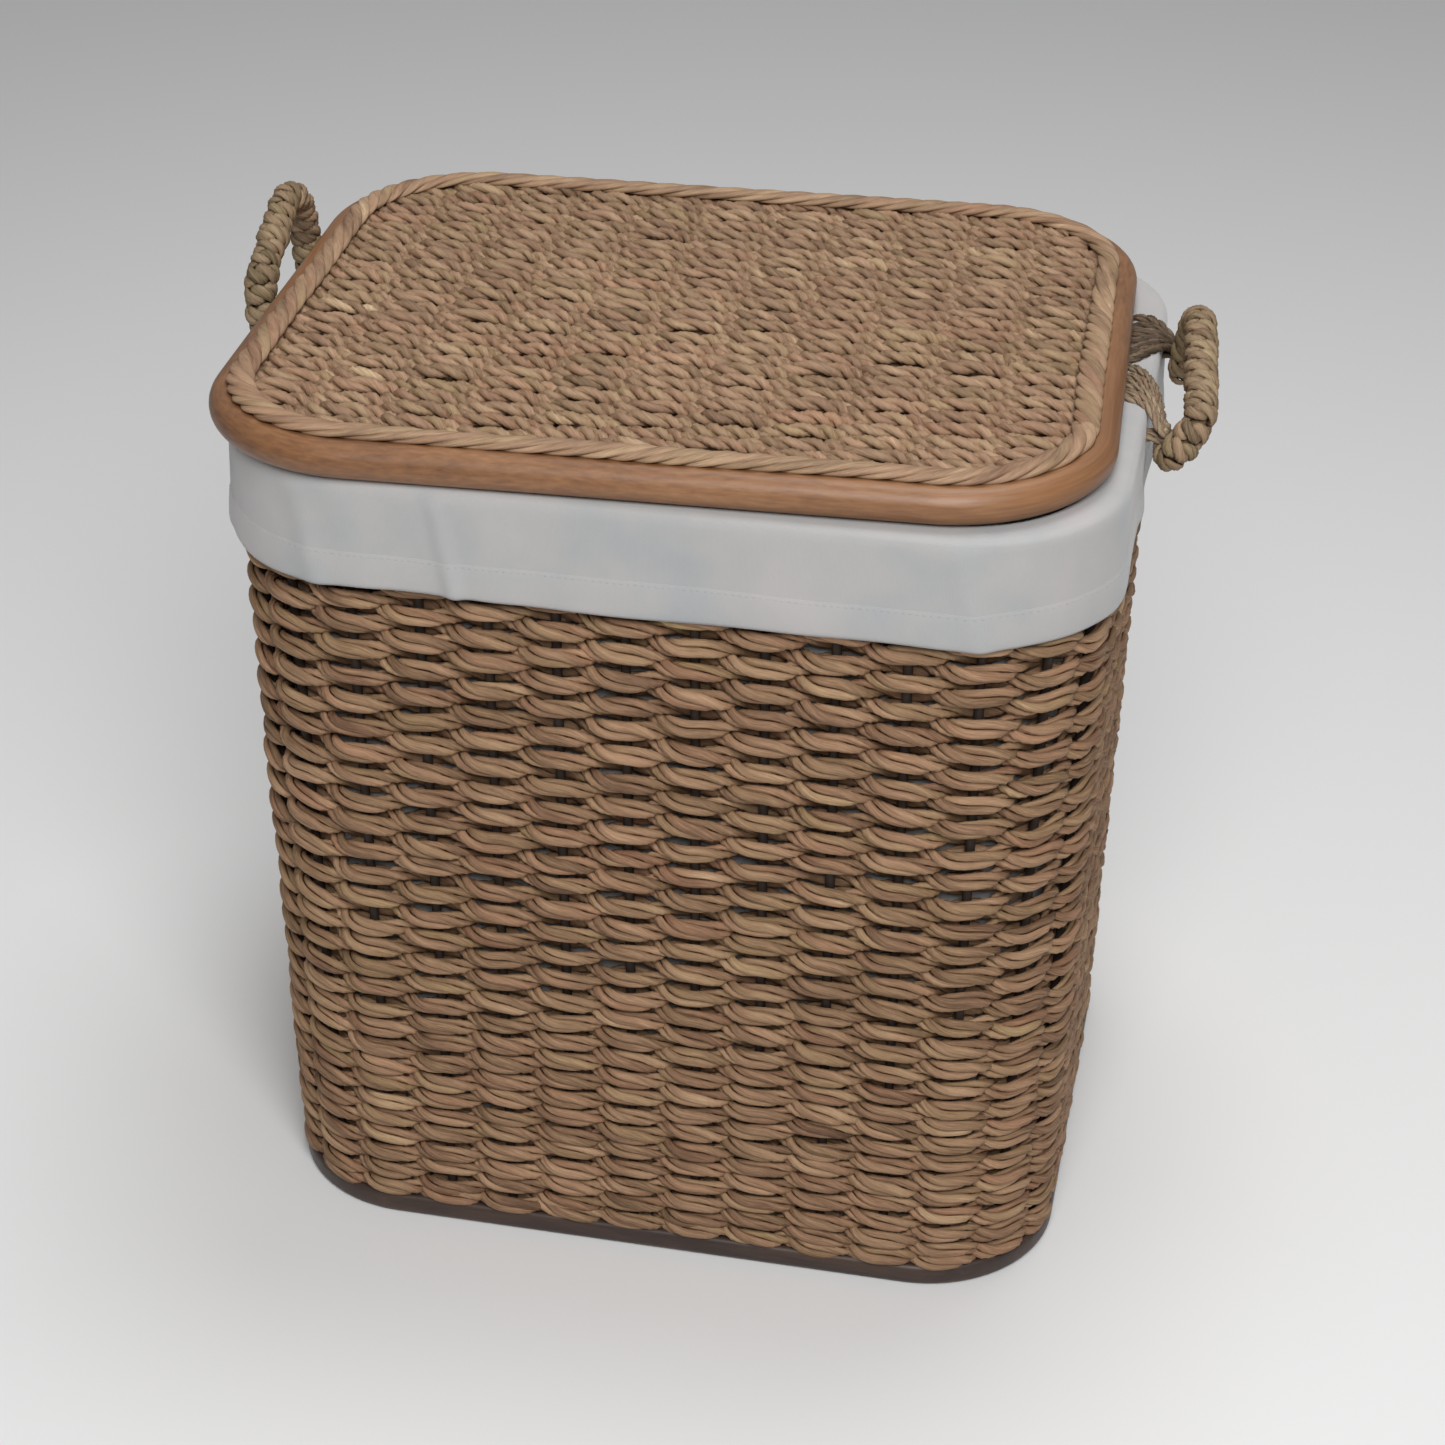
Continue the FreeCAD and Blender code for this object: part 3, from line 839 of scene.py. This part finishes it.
def rounded_path(corners, bends, step):
    """Points along straight runs joined by arcs."""
    points, last = [], corners[0]
    for before, here, after, bend in zip(corners, corners[1:], corners[2:], bends):
        a, b = unit(before - here), unit(after - here)
        half = math.acos(float(a @ b)) / 2
        cut = bend / math.tan(half)
        middle = here + unit(a + b) * bend / math.sin(half)
        start, end = here + a * cut, here + b * cut
        points += straight_run(last, start, step)
        sweep = math.pi - 2 * half
        u, v = unit(start - middle), unit(-a)
        for t in np.linspace(0, sweep, max(int(bend * sweep / step), 3), endpoint=False):
            points.append(middle + bend * (u * math.cos(t) + v * math.sin(t)))
        last = end
    points += straight_run(last, corners[-1], step) + [corners[-1]]
    return np.array(points)


def straight_run(a, b, step):
    """Points from a up to b, without b itself."""
    n = max(int(np.linalg.norm(b - a) / step), 1)
    return [a + (b - a) * t for t in np.arange(n) / n]


def handle_rope(side):
    """Cord wound round the bow, from pin to pin."""
    half, front, back = HANDLES[side][3:6]
    pin_part = PIN_BEND + 2.0
    corners = [handle_point(side, y, reach)
               for y, reach in ((half + pin_part, 0), (half, 0), (half, back),
                                (-half, front), (-half, 0), (pin_part - half, 0))]
    bow_bends = [min(BOW_BEND, reach - PIN_BEND - 1.0) for reach in (back, front)]
    bends = [PIN_BEND, *bow_bends, PIN_BEND]
    path = rounded_path(corners, bends, 1.0)
    at = along(path)
    total = at[-1]
    across = np.cross(corners[2] - corners[1], corners[3] - corners[2])
    across = unit(across + np.cross(corners[3] - corners[2], corners[4] - corners[3]))
    thick = (ROPE_R - CORE_R) / 2
    turns = round(total / ROPE_PITCH)
    count = int(turns * 2 * math.pi * (CORE_R + thick) / ROPE_STEP)
    share = np.linspace(*ROPE_ENDS, count)
    angle = share * turns * 2 * math.pi
    where = share * total + 0.35 * np.sin(angle) + wander(share * total, 9, 0.3)
    spine = np.stack([np.interp(where, at, path[:, k]) for k in range(3)], 1)
    ahead = unit(np.gradient(spine, axis=0))
    even = np.ones(25) / 25
    ahead = unit(np.stack([np.convolve(np.pad(ahead[:, k], 12, "edge"), even, "valid")
                           for k in range(3)], 1))
    side_on = unit(np.cross(np.broadcast_to(across, ahead.shape), ahead))
    flat = np.cross(ahead, side_on)
    radial = side_on * np.cos(angle)[:, None] + flat * np.sin(angle)[:, None]
    length = share * turns * 2 * math.pi * (CORE_R + thick)
    rope = thick * (0.55 + 0.5 * np.clip(np.minimum(share, 1 - share) * total / 20, 0, 1))
    size = 1 + wander(length, 60, 0.06)
    bundle = Bundle()
    centre = spine + radial * (CORE_R + rope * size - 0.1)[:, None]
    twist = 2 * math.pi * length / ROPE_LAY + wander(length, 60, 0.8)
    bundle.cord(centre, radial, rope * size, 5.5 * size, twist, spread=0.44)
    name = f"handle_{side}"
    bundle_piece(f"{name}_rope", bundle, grass_rope, name, [f"{name}_wrap"])


for side in HANDLES:
    handle_rope(side)


def lashing(side, end):
    """Turns of thin cord round one pin, and three strands from it back to the rim."""
    sign, pin_x = HANDLES[side][:2]
    low, high = box(f"lashing_{side}_{end}")
    y0, y1 = low[1], high[1]
    thick, turns = 3.0, 4
    count = 46 * turns
    share = np.linspace(0, 1, count)
    angle = share * turns * 2 * math.pi + math.pi
    radius = CORE_R + PLAY + thick / 2
    radial = np.stack([sign * np.cos(angle), angle * 0, np.sin(angle)], 1)
    y = y0 + thick / 2 + (y1 - y0 - thick) * share
    centre = np.stack([np.full(count, sign * pin_x), y, np.full(count, PIN_Z)], 1) + radial * radius
    bundle = Bundle()
    bundle.cord(centre, radial, thick / 2, 1.85, angle * 1.6, sides=7, spread=0.42)
    # the three strands, into the cuff just below the rim
    inner_x, samples = 224.0, 12
    for k in range(3):
        y = y0 + 2.6 + k * (y1 - y0 - 5.2) / 2
        t = np.linspace(0, 1, samples)
        x = sign * (pin_x - 3.0 - (pin_x - inner_x) * t)
        z = PIN_Z + 3.6 + 1.2 * np.sin(t * math.pi) + 0.3 * k
        centre = np.stack([x, np.full(samples, y) + 0.6 * t, z], 1)
        out = np.tile([0.0, 0.0, 1.0], (samples, 1))
        bundle.cord(centre, out, 1.5, 1.9, t * 5 + k, sides=7, spread=0.42)
    bundle_piece(f"lashing_cord_{side}_{end}", bundle, grass_wrap, "basket",
                 [f"lashing_{side}_{end}"])


for side in HANDLES:
    for end in ("front", "back"):
        lashing(side, end)


def curve(points, count):
    """A smooth curve from the first to the last of a few points that leans towards the others."""
    t = np.linspace(0, 1, count)[:, None]
    last = len(points) - 1
    return sum(math.comb(last, k) * t ** k * (1 - t) ** (last - k) * np.array(p, float)
               for k, p in enumerate(points))


def loose_strand(bundle, points, half, shade):
    """One thin cord along a smooth curve."""
    centre = curve(points, STRAND_POINTS)
    out = np.tile([0.3, 0.1, 1.0], (STRAND_POINTS, 1))
    twist = 2 * math.pi * along(centre) / STRAND_LAY + random.uniform(0, 6)
    bundle.cord(centre, out, half, half * 1.1, twist, spread=0.42, shade=shade)


def rim_ties(side, start, end, count, shade, lean):
    """Strands from under the lid, over the rim and down to the lashing on one of the pins.

    start and end are the first and last strand's y at the rim and at the pin. lean is 0 where the
    strands go straight down from the rim, and 1 where they lie along it first.
    """
    sign, pin_x = HANDLES[side][:2]
    under_lid, over_rim, past_rim, beside_cuff = 203.0, 219.0, 230.5, 228.5
    bundle = Bundle()
    for k in range(count):
        share = k / (count - 1)
        y0 = start[0] + (start[1] - start[0]) * share + random.uniform(-1.2, 1.2)
        y1 = end[0] + (end[1] - end[0]) * share
        lift = 1.3 * (k % 2) + random.uniform(-0.3, 0.3)
        points = [(sign * under_lid, y0, MOUTH_Z - 2.2),
                  (sign * over_rim, y0, MOUTH_Z + 4.4 + lift),
                  (sign * (past_rim - 5.0 * lean + lift),
                   y0 + (0.45 + 0.5 * lean) * (y1 - y0), MOUTH_Z + 2.0),
                  (sign * (beside_cuff + lift),
                   y0 + (0.85 + 0.15 * lean) * (y1 - y0), MOUTH_Z - 9.0),
                  (sign * (pin_x - 1.0), y1, PIN_Z + 8.6)]
        half = 1.9 * random.uniform(0.85, 1.15)
        loose_strand(bundle, points, half, shade + random.uniform(-0.5, 0.5))
    return bundle


# side, end, y at the rim, y at the pin, number of strands, shade and lean
# The right back bundle's shade of -1.6 is painted shade, and the right front one's 0.5 is painted
# light: they are the same cord, made darker and lighter for where it sits.
TIES = [("right", "front", (-10, 34), (-34, -23), 9, 0.5, 0.0),
        ("right", "back", (34, 100), (74, 84), 13, -1.6, 1.0),
        ("left", "front", (4, 44), (21, 32), 7, -0.4, 0.0),
        ("left", "back", (86, 122), (102, 113), 7, -0.6, 0.0)]
CUT_END = [(-247, 29, PIN_Z + 7), (-256, 28, PIN_Z + 8), (-265, 25, PIN_Z + 3)]

for side, end, *tie in TIES:
    ties = rim_ties(side, *tie)
    if (side, end) == ("left", "front"):
        loose_strand(ties, CUT_END, 2.9, 0.2)
    bundle_piece(f"rim_ties_{side}_{end}", ties, grass_wrap, "basket")

# ---------------------------------------------------------------- floor, light and camera

IMAGE = 1445          # the picture's width and height


def area_light(name, place, target, size, power):
    """A round soft light, in metres and watts, that points at target."""
    light = bpy.data.lights.new(name, "AREA")
    light.shape, light.size, light.energy = "DISK", size, power
    lamp = bpy.data.objects.new(name, light)
    lamp.location = place
    lamp.rotation_euler = (Vector(target) - Vector(place)).to_track_quat("-Z", "Y").to_euler()
    bpy.context.scene.collection.objects.link(lamp)


def studio():
    """A pale floor and two soft lights."""
    floor_mesh = bpy.data.meshes.new("floor")
    half = 6.0
    corners = [(-half, -half, 0), (half, -half, 0), (half, half, 0), (-half, half, 0)]
    floor_mesh.from_pydata(corners, [], [(0, 1, 2, 3)])
    floor = bpy.data.objects.new("floor", floor_mesh)
    gap = 0.0002
    floor.location.z = cad_box[0][2] - gap
    bpy.context.scene.collection.objects.link(floor)
    m = Nodes("floor_pale")
    m.set(m.shader.inputs["Base Color"], (0.8, 0.8, 0.8, 1))
    m.set(m.shader.inputs["Roughness"], 0.9)
    floor_mesh.materials.append(m.material)
    world = bpy.data.worlds.new("studio")
    world.use_nodes = True
    background = world.node_tree.nodes["Background"].inputs
    background["Color"].default_value = (1.0, 1.0, 1.0, 1)
    background["Strength"].default_value = 0.25
    bpy.context.scene.world = world
    middle = (0, 0, 0.25)
    area_light("key", (0.5, -1.65, 1.95), middle, 1.2, 44)
    area_light("top", (0.2, 0.5, 2.6), middle, 1.2, 21)
    bpy.context.scene.view_settings.view_transform = "Standard"


def back_of(azimuth, elevation):
    """The direction from what is looked at back to the camera."""
    a, e = math.radians(azimuth), math.radians(elevation)
    return Vector((math.sin(a) * math.cos(e), -math.cos(a) * math.cos(e), math.sin(e)))


def camera():
    """It stands at one angle from the basket's middle and looks along another, slightly rolled."""
    data = bpy.data.cameras.new("camera")
    data.sensor_width, data.lens = 36.0, 76.51
    data.shift_x, data.shift_y = -1.856 / IMAGE, -2.699 / IMAGE
    data.clip_start, data.clip_end = 0.05, 30
    distance, looking = 1.70387, 11.324
    eye = Vector((0, 0, 0.23236)) + distance * back_of(11.5432, 30.1094)
    azimuth, roll = math.radians(looking), math.radians(0.65218)
    back = back_of(looking, 30.001)
    right = Vector((math.cos(azimuth), math.sin(azimuth), 0))
    up = back.cross(right)
    c, s = math.cos(roll), math.sin(roll)
    right, up = right * c + up * s, up * c - right * s
    place = Matrix((right, up, back)).transposed().to_4x4()
    place.translation = eye
    view = bpy.data.objects.new("camera", data)
    view.matrix_world = place
    bpy.context.scene.collection.objects.link(view)
    bpy.context.scene.camera = view


studio()
camera()
